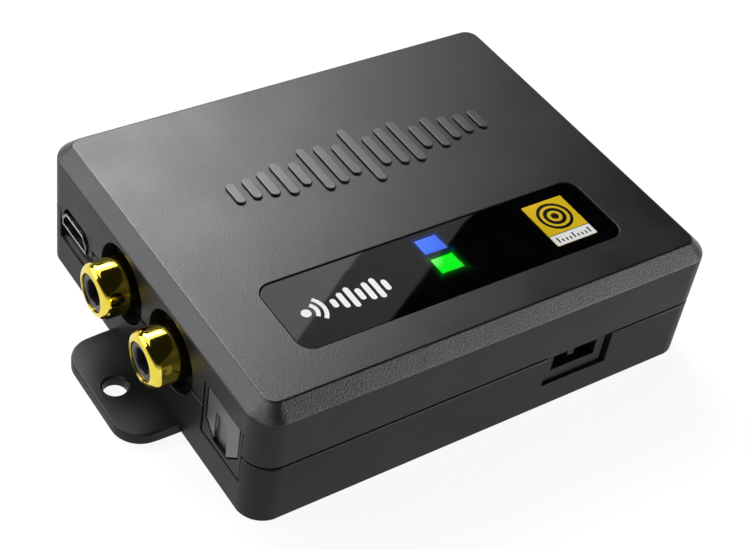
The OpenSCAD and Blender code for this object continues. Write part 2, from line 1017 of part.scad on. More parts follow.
// Flat chip with a row of feet along two of its sides
module flat_chip(at, size, feet, pitch) {
    foot = [0.28, 0.9, 0.2];
    lift = 0.12;
    translate(at) {
        translate([0, 0, lift])
            linear_extrude(size[2] - lift)
                square([size[0], size[1]], center = true);
        for (side = [-1, 1], i = [0 : feet - 1])
            translate([(i - (feet - 1) / 2) * pitch, side * (size[1] / 2 + 0.3), foot[2] / 2])
                cube(foot, center = true);
    }
}

module flash_chip() {
    color([0.08, 0.08, 0.09])
    flat_chip(at = [-16, 17.2, radio_top], size = [5, 4, 1.4], feet = 4, pitch = 1.27);
}

module crystal() {
    color([0.80, 0.81, 0.82])
    union() {
        span([-5, 15.4, radio_top], [-1.8, 17.9, radio_top + 0.5]);
        span([-4.8, 15.6, radio_top + 0.4], [-2, 17.7, radio_top + 0.9]);
    }
}

module converter_chip() {
    color([0.08, 0.08, 0.09])
    flat_chip(at = [-2, 4, board_top], size = [6.5, 4.4, 1.1], feet = 10, pitch = 0.65);
}

module line_driver_chip() {
    color([0.08, 0.08, 0.09])
    flat_chip(at = [-12, -8, board_top], size = [5, 4, 1.5], feet = 4, pitch = 1.27);
}

module voltage_regulator() {
    color([0.08, 0.08, 0.09])
    flat_chip(at = [29, -15, board_top], size = [6.5, 3.5, 1.7], feet = 3, pitch = 2.3);
}

module power_inductor() {
    height = 3;
    ring_depth = 0.6;
    color([0.18, 0.18, 0.19])
    translate([20.5, -12, board_top])
        difference() {
            linear_extrude(height)
                round_rect(6, 6, 1);
            translate([0, 0, height - ring_depth])
                difference() {
                    cylinder(h = 1, r = 2.4);
                    translate([0, 0, -over])
                        cylinder(h = 2, r = 1.6);
                }
        }
}

// Aluminium can capacitors on their plastic bases
module filter_capacitors() {
    color([0.78, 0.79, 0.81])
    for (at = can_at)
        translate([at[0], at[1], board_top]) {
            linear_extrude(0.8)
                round_rect(6.6, 6.6, 0.8);
            translate([0, 0, 0.7])
                rotate_extrude()
                    polygon([
                        [0, 0], [3.15, 0], [3.15, 1], [2.95, 1.2], [2.95, 1.5],
                        [3.15, 1.7], [3.15, 6.6], [2.85, 6.9], [0, 6.9]
                    ]);
        }
}

module protection_diode() {
    color([0.08, 0.08, 0.09])
    union() {
        span([12.5, -17.9, board_top + 0.1], [17, -15.3, board_top + 2.2]);
        span([11.9, -17.3, board_top], [17.6, -15.9, board_top + 0.3]);
    }
}

// Small parts in rows on the top of the main board
module small_parts(x0, y0, columns, rows, size, step_x, step_y) {
    for (i = [0 : columns - 1], j = [0 : rows - 1])
        translate([x0 + i * step_x, y0 + j * step_y, board_top])
            cube(size);
}

module ceramic_capacitors() {
    color([0.66, 0.55, 0.42])
    union() {
        small_parts(-14, 10, 6, 2, [1.6, 0.8, 0.8], 3.2, 2.2);
        small_parts(22, 20.5, 2, 2, [1.6, 0.8, 0.8], 3, 2);
        small_parts(-12, -24, 3, 1, [2, 1.2, 1.2], 3.6, 2);
    }
}

module chip_resistors() {
    color([0.10, 0.10, 0.10])
    union() {
        small_parts(-6, -12, 5, 2, [1.6, 0.8, 0.5], 2.8, 2.2);
        small_parts(-14, 17.5, 8, 1, [1.6, 0.8, 0.5], 2.8, 2.2);
    }
}

upper_shell();
lower_shell();
display_window();
badge();
light_pipe_blue();
light_pipe_green();
led_blue();
led_green();
optical_housing();
optical_shutter();
shutter_pin();
shutter_spring();
optical_emitter();
optical_leads();
jack_housing();
jack_sleeve_rear();
jack_sleeve_front();
jack_insulator_rear();
jack_insulator_front();
jack_contact_rear();
jack_contact_front();
jack_leads();
usb_shell();
usb_tongue();
usb_contacts();
power_housing();
power_pins();
main_board();
radio_board();
board_headers();
header_pins();
radio_module();
radio_shield();
antenna();
flash_chip();
crystal();
converter_chip();
line_driver_chip();
voltage_regulator();
power_inductor();
filter_capacitors();
protection_diode();
ceramic_capacitors();
chip_resistors();
case_screws();
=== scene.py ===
"""Looks for the bluetooth audio receiver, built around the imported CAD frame. Metres, CAD frame."""
import json
import math

import bmesh
import bpy
from mathutils import Matrix, Vector


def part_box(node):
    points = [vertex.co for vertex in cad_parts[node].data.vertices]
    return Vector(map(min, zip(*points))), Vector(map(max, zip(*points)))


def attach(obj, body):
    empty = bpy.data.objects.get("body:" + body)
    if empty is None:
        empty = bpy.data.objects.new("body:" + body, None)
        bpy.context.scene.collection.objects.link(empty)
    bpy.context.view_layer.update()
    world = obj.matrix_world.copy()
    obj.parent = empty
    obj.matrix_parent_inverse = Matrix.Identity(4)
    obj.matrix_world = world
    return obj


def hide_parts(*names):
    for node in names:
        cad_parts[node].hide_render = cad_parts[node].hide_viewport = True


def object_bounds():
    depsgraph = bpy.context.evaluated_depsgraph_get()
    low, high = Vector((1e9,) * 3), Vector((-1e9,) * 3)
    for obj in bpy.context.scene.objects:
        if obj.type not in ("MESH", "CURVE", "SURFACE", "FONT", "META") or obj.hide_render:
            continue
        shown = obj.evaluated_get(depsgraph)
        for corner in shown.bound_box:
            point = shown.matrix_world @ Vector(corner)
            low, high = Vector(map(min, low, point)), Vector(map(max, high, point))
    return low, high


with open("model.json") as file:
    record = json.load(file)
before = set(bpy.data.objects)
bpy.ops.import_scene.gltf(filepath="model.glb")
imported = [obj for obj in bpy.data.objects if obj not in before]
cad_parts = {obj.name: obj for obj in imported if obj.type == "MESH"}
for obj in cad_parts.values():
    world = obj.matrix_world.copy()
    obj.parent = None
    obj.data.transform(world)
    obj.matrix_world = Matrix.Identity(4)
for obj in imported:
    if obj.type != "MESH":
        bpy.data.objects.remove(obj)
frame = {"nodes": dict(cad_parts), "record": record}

NODES = frame["nodes"]
SLOT_OF = {s["node"]: s["material_slot"] for s in frame["record"]["subparts"]}
CAD_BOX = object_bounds()
MM = 0.001

# The window, its badge and its light guides, from the CAD nodes' own boxes
WINDOW_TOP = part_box("display_window")[1].z
BADGE_LOW, BADGE_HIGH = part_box("badge")
BLUE_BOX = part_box("light_pipe_blue")
GREEN_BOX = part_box("light_pipe_green")
# Size of the lit end of a light guide
LAMP_W = 3.5 * MM
LAMP_D = 2.8 * MM

# Planes of the CAD, in millimetres, where edges are rounded
BAR_TOP = 21.15
TOP_FACE = 20.8
SLOPE_FOOT = 18.7
SEAM_ABOVE = 10.8
SEAM_BAND = (9.9, 10.2)
EAR_TOP = 1.8
LEFT_WALL = -38.0
FRONT_WALL = -30.5
SOCKET_FACE = -37.9
SHUTTER_FACE = -37.85
SUPPLY_FACE = -30.0
# Edges sharper than this angle in degrees are rounded
SHARP_EDGE = 25
# A face whose normal leans up or down by less than the first is a wall, by less than the second a slope
WALL_LEAN = 0.35
SLOPE_LEAN = 0.95
# Level faces above this height are the tops of the raised bars
RAISED_ABOVE = (BAR_TOP - 0.05) * MM


# ---- Camera ----

def make_camera(aim, heading, dip, roll, distance, lens):
    """Camera that looks at aim along a heading from +Y towards +X, tipped down by dip."""
    heading, dip, roll = (math.radians(a) for a in (heading, dip, roll))
    forward = Vector((
        math.sin(heading) * math.cos(dip),
        math.cos(heading) * math.cos(dip),
        -math.sin(dip),
    ))
    level = Vector((math.cos(heading), -math.sin(heading), 0.0))
    right = level * math.cos(roll) + level.cross(forward) * math.sin(roll)
    up = right.cross(forward)
    data = bpy.data.cameras.new("camera")
    data.sensor_width = 36.0
    data.lens = lens
    data.clip_start = 0.01
    data.clip_end = 50.0
    camera = bpy.data.objects.new("camera", data)
    turn = Matrix((right, up, -forward)).transposed().to_4x4()
    camera.matrix_world = Matrix.Translation(Vector(aim) - forward * distance) @ turn
    bpy.context.scene.collection.objects.link(camera)
    bpy.context.scene.camera = camera
    return camera


# ---- Node materials ----

class Look:
    """A node material with helpers: coordinates are the object's own, in millimetres."""

    def __init__(self, name):
        self.mat = bpy.data.materials.new(name)
        self.mat.use_nodes = True
        self.tree = self.mat.node_tree
        self.tree.nodes.clear()
        self.out = self.node("ShaderNodeOutputMaterial")
        self.shader = self.node("ShaderNodeBsdfPrincipled")
        self.link(self.shader.outputs[0], self.out.inputs["Surface"])
        coords = self.node("ShaderNodeTexCoord")
        scale = self.node("ShaderNodeMapping")
        scale.inputs["Scale"].default_value = (1 / MM,) * 3
        self.link(coords.outputs["Object"], scale.inputs["Vector"])
        self.place = scale.outputs[0]

    def node(self, kind, **values):
        made = self.tree.nodes.new(kind)
        for key, value in values.items():
            setattr(made, key, value)
        return made

    def link(self, a, b):
        self.tree.links.new(a, b)

    def put(self, value, socket):
        """Links a socket, or sets a number or colour."""
        if isinstance(value, bpy.types.NodeSocket):
            self.link(value, socket)
        elif isinstance(value, (tuple, list)) and len(value) == 3 and socket.type == "RGBA":
            socket.default_value = (*value, 1.0)
        else:
            socket.default_value = value

    def math(self, operation, a, b=0.0, clamp=False):
        n = self.node("ShaderNodeMath", operation=operation, use_clamp=clamp)
        self.put(a, n.inputs[0])
        self.put(b, n.inputs[1])
        return n.outputs[0]

    def noise(self, size, detail=3.0, rough=0.5, stretch=None, shift=0.0):
        """Noise whose blobs are about size millimetres across."""
        place = self.place
        if stretch or shift:
            n = self.node("ShaderNodeMapping")
            n.inputs["Scale"].default_value = stretch or (1.0, 1.0, 1.0)
            n.inputs["Location"].default_value = (shift, shift * 0.7, shift * 1.3)
            self.link(place, n.inputs["Vector"])
            place = n.outputs[0]
        n = self.node("ShaderNodeTexNoise")
        n.inputs["Scale"].default_value = 1.0 / size
        n.inputs["Detail"].default_value = detail
        n.inputs["Roughness"].default_value = rough
        self.link(place, n.inputs["Vector"])
        return n.outputs["Fac"]

    def cells(self, size, feature="F1"):
        n = self.node("ShaderNodeTexVoronoi", feature=feature)
        n.inputs["Scale"].default_value = 1.0 / size
        self.link(self.place, n.inputs["Vector"])
        return n.outputs["Distance"]

    def remap(self, value, low, high, to_low, to_high):
        n = self.node("ShaderNodeMapRange", clamp=True)
        for key, v in zip(("Value", "From Min", "From Max", "To Min", "To Max"),
                          (value, low, high, to_low, to_high)):
            self.put(v, n.inputs[key])
        return n.outputs[0]

    def mix(self, factor, a, b):
        n = self.node("ShaderNodeMix", data_type="RGBA")
        self.put(factor, n.inputs[0])
        self.put(a, n.inputs[6])
        self.put(b, n.inputs[7])
        return n.outputs[2]

    def bump(self, height, depth, under=None):
        """Bump of the given depth in millimetres."""
        n = self.node("ShaderNodeBump")
        n.inputs["Strength"].default_value = 1.0
        n.inputs["Distance"].default_value = depth * MM
        self.link(height, n.inputs["Height"])
        if under is not None:
            self.link(under, n.inputs["Normal"])
        return n.outputs[0]

    def edges(self, radius):
        """0 on flat surfaces, rising on edges sharper than the radius in millimetres."""
        n = self.node("ShaderNodeBevel", samples=6)
        n.inputs["Radius"].default_value = radius * MM
        plain = self.node("ShaderNodeNewGeometry")
        dot = self.node("ShaderNodeVectorMath", operation="DOT_PRODUCT")
        self.link(n.outputs[0], dot.inputs[0])
        self.link(plain.outputs["Normal"], dot.inputs[1])
        return self.math("SUBTRACT", 1.0, dot.outputs["Value"], clamp=True)

    def set(self, **values):
        names = {
            "colour": "Base Color", "rough": "Roughness", "metal": "Metallic",
            "spec": "Specular IOR Level", "normal": "Normal",
            "glow": "Emission Color", "glow_strength": "Emission Strength",
        }
        for key, value in values.items():
            self.put(value, self.shader.inputs[names[key]])
        return self.mat


def moulded(name, base, pale, rough, grain=0.20, depth=0.015, spec=0.5, wear=0.35, pits=0.35):
    """Moulded plastic: spark-eroded grain, uneven sheen and rubbed edges."""
    k = Look(name)
    fine = k.noise(grain, 2.0, 0.6)
    pit = k.remap(k.cells(grain * 1.3), 0.0, 0.75, 0.0, 1.0)
    height = k.math("ADD", k.math("MULTIPLY", fine, 1.0 - pits), k.math("MULTIPLY", pit, pits))
    slow = k.noise(9.0, 3.0, 0.55, shift=3.0)
    wide = k.noise(28.0, 2.0, 0.5, shift=11.0)
    rub = k.math("MULTIPLY", k.remap(k.edges(0.45), 0.015, 0.16, 0.0, 1.0),
                 k.remap(k.noise(1.6, 4.0, 0.65), 0.38, 0.66, 0.15, 1.0))
    tone = k.mix(k.remap(k.math("ADD", k.math("MULTIPLY", slow, 0.6), k.math("MULTIPLY", fine, 0.4)),
                         0.36, 0.64, 0.0, 1.0), base, pale)
    worn = tuple(min(1.0, c * 2.4 + 0.006) for c in pale)
    colour = k.mix(k.math("MULTIPLY", rub, wear), tone, worn)
    sheen = k.math("ADD", k.remap(slow, 0.35, 0.65, rough - 0.025, rough + 0.025),
                   k.remap(wide, 0.35, 0.65, -0.015, 0.015))
    gloss = k.math("SUBTRACT", sheen, k.math("MULTIPLY", rub, 0.08))
    wavy = k.bump(k.noise(7.0, 1.0, 0.4, shift=5.0), 0.002)
    return k.set(colour=colour, rough=gloss, spec=spec, normal=k.bump(height, depth, wavy))


def polished(name, base, pale, rough, spec=0.5, halo=()):
    """Polished plastic or lacquer: faint haze, slight waviness, fine scuffs."""
    k = Look(name)
    slow = k.noise(6.0, 3.0, 0.5, shift=2.0)
    scuff = k.noise(0.35, 4.0, 0.7, stretch=(1.0, 6.0, 1.0), shift=7.0)
    gloss = k.math("ADD", k.remap(slow, 0.35, 0.7, rough * 0.8, rough * 1.3),
                   k.remap(scuff, 0.60, 0.78, 0.0, rough * 0.9))
    colour = k.mix(k.remap(slow, 0.35, 0.65, 0.0, 1.0), base, pale)
    k.set(colour=colour, rough=gloss, spec=spec,
          normal=k.bump(k.noise(5.0, 1.0, 0.4, shift=9.0), 0.0006))
    if halo:
        k.set(glow=halo_colour(k, halo), glow_strength=1.0)
    return k.mat


def halo_colour(k, lamps):
    """Light that leaks sideways from each lamp into the clear top layer, reach in millimetres."""
    split = k.node("ShaderNodeSeparateXYZ")
    k.link(k.place, split.inputs[0])
    total = None
    half_x, half_y = LAMP_W / 2 / MM, LAMP_D / 2 / MM
    for (low, high), shade, strength, reach in lamps:
        x0, y0 = (low.x + high.x) / 2 / MM, (low.y + high.y) / 2 / MM
        dx = k.math("SUBTRACT", k.math("ABSOLUTE", k.math("SUBTRACT", split.outputs[0], x0)), half_x)
        dy = k.math("SUBTRACT", k.math("ABSOLUTE", k.math("SUBTRACT", split.outputs[1], y0)), half_y)
        far = k.math("MAXIMUM", k.math("MAXIMUM", dx, dy), 0.0)
        fade = k.math("POWER", 2.718, k.math("MULTIPLY", far, -1.0 / reach))
        lit = k.mix(k.math("MULTIPLY", fade, strength, clamp=True), (0.0, 0.0, 0.0), shade)
        if total is None:
            total = lit
        else:
            add = k.node("ShaderNodeMix", data_type="RGBA", blend_type="ADD")
            add.inputs[0].default_value = 1.0
            k.link(total, add.inputs[6])
            k.link(lit, add.inputs[7])
            total = add.outputs[2]
    return total


def metal(name, base, pale, rough, lines=(1.0, 1.0, 1.0), line_size=0.12, depth=0.0006,
          tarnish=None, amount=0.0, streaks=0.5):
    """Metal with drawn or turned lines, smudges and tarnish."""
    k = Look(name)
    marks = k.noise(line_size, 3.0, 0.6, stretch=lines)
    smudge = k.noise(1.7, 4.0, 0.6, shift=4.0)
    gloss = k.math("ADD", k.remap(smudge, 0.35, 0.68, rough * 0.7, rough * 1.35),
                   k.remap(marks, 0.4, 0.7, 0.0, rough * streaks))
    colour = k.mix(k.remap(smudge, 0.35, 0.65, 0.0, 1.0), base, pale)
    if tarnish:
        spots = k.remap(k.noise(0.8, 5.0, 0.7, shift=8.0), 0.55, 0.75, 0.0, amount)
        colour = k.mix(spots, colour, tarnish)
    return k.set(colour=colour, rough=gloss, metal=1.0, normal=k.bump(marks, depth))


def lamp_head(name, shade, pale, corner, strength):
    """Lit end of a light guide: even light, paler towards one corner (x, y, reach in millimetres)."""
    k = Look(name)
    split = k.node("ShaderNodeSeparateXYZ")
    k.link(k.place, split.inputs[0])
    x0, y0, reach = corner
    dx = k.math("SUBTRACT", split.outputs[0], x0)
    dy = k.math("SUBTRACT", split.outputs[1], y0)
    far = k.math("POWER", k.math("ADD", k.math("MULTIPLY", dx, dx), k.math("MULTIPLY", dy, dy)), 0.5)
    near = k.remap(far, 0.0, reach, 1.0, 0.0)
    speckle = k.remap(k.noise(0.5, 3.0, 0.6), 0.3, 0.7, 0.92, 1.0)
    glow = k.mix(near, shade, pale)
    dim = k.node("ShaderNodeMix", data_type="RGBA", blend_type="MULTIPLY")
    dim.inputs[0].default_value = 1.0
    k.link(glow, dim.inputs[6])
    k.link(speckle, dim.inputs[7])
    return k.set(
        colour=tuple(c * 0.04 for c in shade), rough=0.12, spec=0.10,
        glow=dim.outputs[2], glow_strength=strength, normal=k.bump(k.noise(0.6, 2.0, 0.5), 0.0006),
    )


BLUE = (0.055, 0.165, 0.92)
BLUE_PALE = (0.10, 0.24, 1.0)
GREEN = (0.0, 0.90, 0.010)
GREEN_PALE = (0.30, 1.0, 0.28)

LOOKS = {
    "case_top": moulded("case_top_look", (0.0014, 0.0014, 0.0015), (0.0022, 0.0022, 0.0023), 0.33,
                         spec=0.50),
    # Painted light and shade: the lower shell is the same plastic, drawn paler and with a weaker
    # reflection to brighten its ear
    "case_base": moulded("case_base_painted_light_look", (0.0036, 0.0036, 0.0038), (0.0048, 0.0048, 0.0050), 0.38,
                          spec=0.24),
    "window": polished(
        "window_look", (0.0006, 0.0006, 0.0008), (0.0009, 0.0009, 0.0011), 0.022, 0.158,
        halo=((BLUE_BOX, BLUE, 0.24, 0.28), (GREEN_BOX, GREEN, 0.26, 0.28)),
    ),
    "badge": polished("badge_look", (0.55, 0.375, 0.008), (0.61, 0.415, 0.011), 0.22, 0.10),
    "pipe_blue": lamp_head("pipe_blue_look", BLUE, BLUE_PALE, (-3.0, -10.0, 5.0), 1.0),
    "pipe_green": lamp_head("pipe_green_look", GREEN, GREEN_PALE, (-2.2, -14.6, 2.2), 1.0),
    "lamp": polished("lamp_look", (0.75, 0.76, 0.70), (0.82, 0.83, 0.78), 0.18),
    "socket_black": moulded("socket_black_look", (0.0045, 0.0045, 0.0048), (0.0065, 0.0065, 0.0068), 0.50,
                            grain=0.16, depth=0.006, spec=0.2),
    "shutter": moulded("shutter_look", (0.024, 0.024, 0.025), (0.030, 0.030, 0.031), 0.36,
                       grain=0.30, depth=0.006, spec=0.8),
    "spring_steel": metal("spring_steel_look", (0.55, 0.55, 0.56), (0.66, 0.66, 0.67), 0.20),
    "emitter": polished("emitter_look", (0.26, 0.012, 0.014), (0.34, 0.02, 0.022), 0.10),
    "tin": metal("tin_look", (0.62, 0.61, 0.58), (0.74, 0.73, 0.70), 0.24,
                 tarnish=(0.36, 0.34, 0.30), amount=0.5),
    "gold": metal("gold_look", (0.76, 0.60, 0.060), (0.82, 0.67, 0.090), 0.09,
                  lines=(9.0, 1.0, 1.0), line_size=0.5, depth=0.0002,
                  tarnish=(0.52, 0.30, 0.05), amount=0.35),
    "insulator": moulded("insulator_look", (0.020, 0.020, 0.026), (0.027, 0.027, 0.034), 0.32,
                         grain=0.30, depth=0.004, spec=0.4),
    "steel": metal("steel_look", (0.17, 0.17, 0.18), (0.24, 0.24, 0.25), 0.26,
                   lines=(1.0, 7.0, 7.0), line_size=0.3, tarnish=(0.30, 0.29, 0.28), amount=0.4),
    "screw": metal("screw_look", (0.050, 0.050, 0.053), (0.085, 0.085, 0.088), 0.34,
                   tarnish=(0.16, 0.15, 0.14), amount=0.5),
    "chip": moulded("chip_look", (0.012, 0.012, 0.013), (0.018, 0.018, 0.019), 0.48,
                    grain=0.09, depth=0.004),
    "ceramic": polished("ceramic_look", (0.40, 0.27, 0.15), (0.52, 0.37, 0.23), 0.30),
    "antenna": polished("antenna_look", (0.68, 0.66, 0.58), (0.78, 0.76, 0.69), 0.28),
    "can": metal("can_look", (0.66, 0.67, 0.68), (0.78, 0.79, 0.80), 0.26,
                 lines=(1.0, 1.0, 9.0), line_size=0.4, tarnish=(0.40, 0.40, 0.40), amount=0.3),
    "ferrite": moulded("ferrite_look", (0.030, 0.030, 0.031), (0.045, 0.045, 0.046), 0.62,
                       grain=0.12, depth=0.010),
}


def circuit_board(name, mask, mask_pale, copper):
    """Solder mask over copper tracks, with a fine weave below."""
    k = Look(name)
    grid = k.node("ShaderNodeTexBrick", offset=0.5, squash=1.0)
    grid.inputs["Scale"].default_value = 0.42
    grid.inputs["Mortar Size"].default_value = 0.10
    grid.inputs["Mortar Smooth"].default_value = 0.05
    k.link(k.place, grid.inputs["Vector"])
    gate = k.remap(k.noise(4.5, 1.0, 0.4, shift=6.0), 0.47, 0.53, 0.0, 1.0)
    track = k.math("MULTIPLY", grid.outputs["Fac"], gate)
    weave = k.noise(0.25, 2.0, 0.5, stretch=(1.0, 3.0, 1.0))
    tone = k.mix(k.remap(k.noise(5.0, 3.0, 0.5), 0.35, 0.65, 0.0, 1.0), mask, mask_pale)
    colour = k.mix(track, tone, copper)
    lifted = k.bump(track, 0.02, k.bump(weave, 0.002))
    return k.set(colour=colour, rough=k.remap(weave, 0.3, 0.7, 0.22, 0.34), spec=0.5, normal=lifted)


LOOKS["board_green"] = circuit_board("board_green_look", (0.010, 0.105, 0.040), (0.014, 0.135, 0.052),
                                     (0.035, 0.22, 0.075))
LOOKS["board_blue"] = circuit_board("board_blue_look", (0.008, 0.045, 0.110), (0.012, 0.058, 0.140),
                                    (0.028, 0.105, 0.21))

# The upright walls of the case have a smoother grain than its top face, and a paler colour with a duller
# reflection that are painted light and shade; the sloping edges are coarser, and the raised bars are
# paler on top
SLOPE_LOOKS = {
    "case_top": moulded("case_top_slope_look", (0.0014, 0.0014, 0.0015), (0.0022, 0.0022, 0.0023), 0.33,
                        grain=0.20, depth=0.055, spec=0.50, pits=0.2),
}
# Painted light and shade: the walls' paler colour and weaker reflection stand in for how light falls on
# them
WALL_PAINTED_LIGHT_LOOKS = {
    "case_top": moulded("case_top_wall_painted_light_look", (0.0034, 0.0034, 0.0036), (0.0044, 0.0044, 0.0046), 0.45,
                        grain=0.20, depth=0.010, spec=0.20),
    "case_base": moulded("case_base_wall_painted_light_look", (0.0052, 0.0052, 0.0055), (0.0067, 0.0067, 0.0070), 0.47,
                         grain=0.20, depth=0.010, spec=0.14),
}
RAISED_LOOKS = {
    "case_top": moulded("case_top_raised_look", (0.0110, 0.0110, 0.0113), (0.0135, 0.0135, 0.0138), 0.33,
                        grain=0.20, depth=0.010, spec=0.70, pits=0.35),
}
WHITE_PRINT = polished("white_print_look", (0.76, 0.76, 0.76), (0.82, 0.82, 0.82), 0.30, 0.2)
BLACK_PRINT = polished("black_print_look", (0.003, 0.003, 0.003), (0.005, 0.005, 0.005), 0.25, 0.08)
GREY_PRINT = polished("grey_print_look", (0.64, 0.64, 0.62), (0.69, 0.69, 0.67), 0.30, 0.2)


# ---- Pieces ----

def add_piece(name, bm, looks, body, replaces=(), flatten=True):
    """Makes an object from a bmesh, smooth but for its sharp edges, and rides it on a body.

    With flatten, large faces keep flat shading next to their rounded edges."""
    mesh = bpy.data.meshes.new(name)
    bm.normal_update()
    bm.to_mesh(mesh)
    bm.free()
    mesh.shade_smooth()
    mesh.set_sharp_from_angle(angle=math.radians(35.0))
    piece = bpy.data.objects.new(name, mesh)
    bpy.context.scene.collection.objects.link(piece)
    for look in looks:
        mesh.materials.append(look)
    if flatten:
        even = piece.modifiers.new("even", "WEIGHTED_NORMAL")
        even.keep_sharp = True
        even.weight = 100
        even.use_face_influence = True
    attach(piece, body)
    if replaces:
        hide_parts(*replaces)
    return piece


def softened(node, name, rules, body="case", segments=3):
    """Copy of a CAD node with real rounded edges. Each rule gives a width in mm for edges it picks."""
    bm = bmesh.new()
    bm.from_mesh(NODES[node].data)
    bmesh.ops.remove_doubles(bm, verts=bm.verts[:], dist=2e-6)
    bmesh.ops.dissolve_limit(
        bm, angle_limit=math.radians(0.5), use_dissolve_boundaries=False,
        verts=bm.verts[:], edges=bm.edges[:],
    )
    bm.normal_update()
    group = bm.edges.layers.int.new("group")
    for e in bm.edges:
        if not e.is_manifold or not e.is_convex or e.calc_face_angle(0.0) < math.radians(SHARP_EDGE):
            continue
        a, b = e.verts[0].co / MM, e.verts[1].co / MM
        for index, (picks, width) in enumerate(rules):
            if picks(a, b):
                e[group] = index + 1
                break
    for index, (picks, width) in enumerate(rules):
        edges = [e for e in bm.edges if e[group] == index + 1
                 and e.is_manifold and e.calc_face_angle(0.0) > math.radians(SHARP_EDGE - 1)]
        if not edges:
            continue
        bmesh.ops.bevel(
            bm, geom=edges, offset=width * MM, offset_type="OFFSET", segments=segments,
            profile=0.5, affect="EDGES", clamp_overlap=False, miter_outer="ARC", miter_inner="SHARP",
            material=-1, loop_slide=True, face_strength_mode="NEW",
        )
        for e in bm.edges:
            if e[group] == index + 1:
                e[group] = 0
    bmesh.ops.dissolve_degenerate(bm, dist=2e-6, edges=bm.edges[:])
    slot = SLOT_OF[node]
    looks = [LOOKS[slot]]
    if slot in WALL_PAINTED_LIGHT_LOOKS:
        looks.append(WALL_PAINTED_LIGHT_LOOKS[slot])
        looks.append(SLOPE_LOOKS.get(slot, LOOKS[slot]))
        looks.append(RAISED_LOOKS.get(slot, LOOKS[slot]))
        bm.normal_update()
        for face in bm.faces:
            lean = abs(face.normal.z)
            if lean < WALL_LEAN:
                face.material_index = 1
            elif lean < SLOPE_LEAN:
                face.material_index = 2
            elif face.calc_center_median().z > RAISED_ABOVE:
                face.material_index = 3
            else:
                face.material_index = 0
    return add_piece(name, bm, looks, body, (node,))


def near(value, target, slack=0.03):
    return abs(value - target) < slack


def ends(test):
    """Picks an edge whose two ends both pass a test."""
    return lambda a, b: test(a) and test(b)


def on_rim(v):
    """Whether a point of the top face is on its outer rim."""
    return abs(v.x) > 33.9 or abs(v.y) > 26.4


def on_ear(v):
    return abs(v.x) > -LEFT_WALL


# Which edges are rounded, and how wide in millimetres
TOP_RULES = (
    (ends(lambda v: near(v.z, TOP_FACE) and on_rim(v)), 0.22),
    (ends(lambda v: near(v.z, SLOPE_FOOT)), 0.26),
    (ends(lambda v: near(v.z, BAR_TOP)), 0.11),
    (ends(lambda v: near(v.z, TOP_FACE)), 0.07),
    (ends(lambda v: near(v.x, LEFT_WALL)), 0.12),
    (ends(lambda v: v.z < SEAM_ABOVE), 0.06),
)
BASE_RULES = (
    (ends(lambda v: near(v.z, EAR_TOP) and on_ear(v)), 0.30),
    (ends(lambda v: near(v.z, 0.0) and on_ear(v)), 0.12),
    (ends(lambda v: near(v.x, LEFT_WALL)), 0.12),
    (ends(lambda v: near(v.y, FRONT_WALL)), 0.10),
    (ends(lambda v: SEAM_BAND[0] < v.z < SEAM_BAND[1]), 0.06),
)
WINDOW_RULES = ((ends(lambda v: near(v.z, WINDOW_TOP / MM)), 0.10),)
SOCKET_RULES = ((ends(lambda v: near(v.x, SOCKET_FACE)), 0.10),)
SHUTTER_RULES = ((ends(lambda v: near(v.x, SHUTTER_FACE)), 0.08),)
SUPPLY_RULES = ((ends(lambda v: near(v.y, SUPPLY_FACE)), 0.08),)
PORT_RULES = ((lambda a, b: True, 0.09),)


def lathe(name, profile, centre, look, replaces, steps=128, body="case"):
    """Ring turned about a line along X. The profile is a closed loop of (x, radius) in metres."""
    bm = bmesh.new()
    loops = []
    for i in range(steps):
        a = 2 * math.pi * i / steps
        loops.append([
            bm.verts.new((x, centre[0] + r * math.cos(a), centre[1] + r * math.sin(a)))
            for x, r in profile
        ])
    n = len(profile)
    for i in range(steps):
        here, there = loops[i], loops[(i + 1) % steps]
        for j in range(n):
            bm.faces.new((here[j], there[j], there[(j + 1) % n], here[(j + 1) % n]))
    bmesh.ops.recalc_face_normals(bm, faces=bm.faces[:])
    return add_piece(name, bm, [look], body, replaces, flatten=False)


def arc(x0, r0, radius, start, end, steps=8):
    """Points of an arc in the (x, radius) plane, angles in degrees from +x towards +radius."""
    return [
        (x0 + radius * math.cos(math.radians(start + (end - start) * i / steps)),
         r0 + radius * math.sin(math.radians(start + (end - start) * i / steps)))
        for i in range(steps + 1)
    ]


def plate(bm, outline, z0, z1):
    """Closed prism on an outline of (x, y) points given anticlockwise."""
    low = [bm.verts.new((x, y, z0)) for x, y in outline]
    high = [bm.verts.new((x, y, z1)) for x, y in outline]
    n = len(outline)
    bm.faces.new(list(reversed(low)))
    bm.faces.new(high)
    for i in range(n):
        bm.faces.new((low[i], low[(i + 1) % n], high[(i + 1) % n], high[i]))


def capsule(x, y, width, length, steps=10):
    """Outline of a bar along Y with round ends."""
    r, half = width / 2, (length - width) / 2
    points = [(x + r * math.cos(a), y + half + r * math.sin(a))
              for a in (math.pi * i / steps for i in range(steps + 1))]
    points += [(x + r * math.cos(a), y - half + r * math.sin(a))
               for a in (math.pi + math.pi * i / steps for i in range(steps + 1))]
    return points


def band(x, y, r_in, r_out, start, end, steps=24):
    """Outline of part of a flat ring, angles in degrees."""
    turn = [math.radians(start + (end - start) * i / steps) for i in range(steps + 1)]
    outer = [(x + r_out * math.cos(a), y + r_out * math.sin(a)) for a in turn]
    inner = [(x + r_in * math.cos(a), y + r_in * math.sin(a)) for a in reversed(turn)]
    return outer + inner


def disc(x, y, radius, steps=32):
    """Outline of a round spot."""
    turn = [2 * math.pi * i / steps for i in range(steps)]
    return [(x + radius * math.cos(a), y + radius * math.sin(a)) for a in turn]


